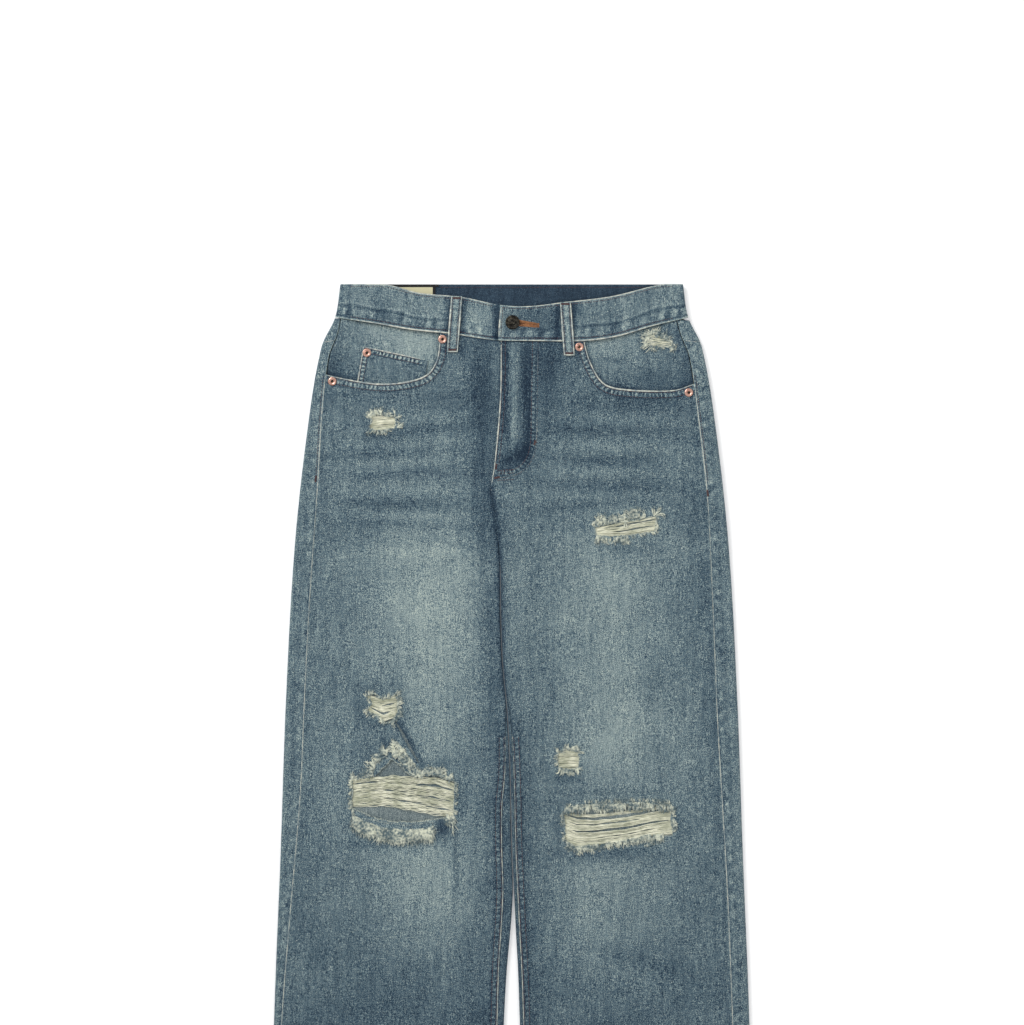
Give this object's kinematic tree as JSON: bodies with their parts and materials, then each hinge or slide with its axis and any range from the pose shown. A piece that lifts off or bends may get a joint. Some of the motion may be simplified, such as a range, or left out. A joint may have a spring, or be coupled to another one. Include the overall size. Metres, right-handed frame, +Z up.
{
  "type": "ripped jeans",
  "caption": "Straight-leg denim trousers laid flat front up, with worn thighs, torn knees crossed by bare weft threads, scooped pockets, belt loops and a button at the waist.",
  "frame": {"origin": "on the surface the garment lies on, under the middle of its length and width", "axes": "+X across the body to the viewer's right, +Y from the hems to the waist, +Z up from the surface through the garment, out of its front"},
  "size_m": [0.56, 1.04, 0.0124],
  "materials": {
    "denim": "washed indigo twill, faded at the thighs and knees",
    "waistband_denim": "washed indigo twill outside, dark indigo inside",
    "pocket_denim": "less worn indigo twill",
    "weft_threads": "bare cream cotton threads",
    "fringe": "frayed pale blue cotton",
    "copper": "worn copper",
    "bronze": "dark antique bronze",
    "label_dark": "black woven tape",
    "label_pale": "blank cream woven cloth"
  },
  "bodies": {
    "root": {"back_panel_left": "denim", "back_panel_right": "denim", "back_pocket_left": "denim", "back_pocket_right": "denim", "belt_loop_back_centre": "denim", "belt_loop_back_left": "denim", "belt_loop_back_right": "denim", "belt_loop_front_left": "denim", "belt_loop_front_right": "denim", "button": "bronze", "coin_pocket": "pocket_denim", "fray_knee_left_flap": "fringe", "fray_knee_left_middle": "fringe", "fray_knee_left_upper": "fringe", "fray_knee_right_lower": "fringe", "fray_knee_right_upper": "fringe", "fray_pocket_right": "fringe", "fray_thigh_right_lower": "fringe", "fray_thigh_right_upper": "fringe", "front_panel_left": "denim", "front_panel_right": "denim", "hem_left": "denim", "hem_right": "denim", "label_band": "label_dark", "label_patch": "label_pale", "pocket_facing_left": "pocket_denim", "pocket_facing_right": "pocket_denim", "rivet_coin_pocket": "copper", "rivet_pocket_left_inner": "copper", "rivet_pocket_left_outer": "copper", "rivet_pocket_right_inner": "copper", "rivet_pocket_right_outer": "copper", "waistband": "waistband_denim", "weft_knee_left": "weft_threads", "weft_knee_left_upper": "weft_threads", "weft_knee_right": "weft_threads", "weft_knee_right_upper": "weft_threads", "weft_thigh_left": "weft_threads", "weft_thigh_right": "weft_threads", "yoke_left": "denim", "yoke_right": "denim"}
  },
  "joints": []
}
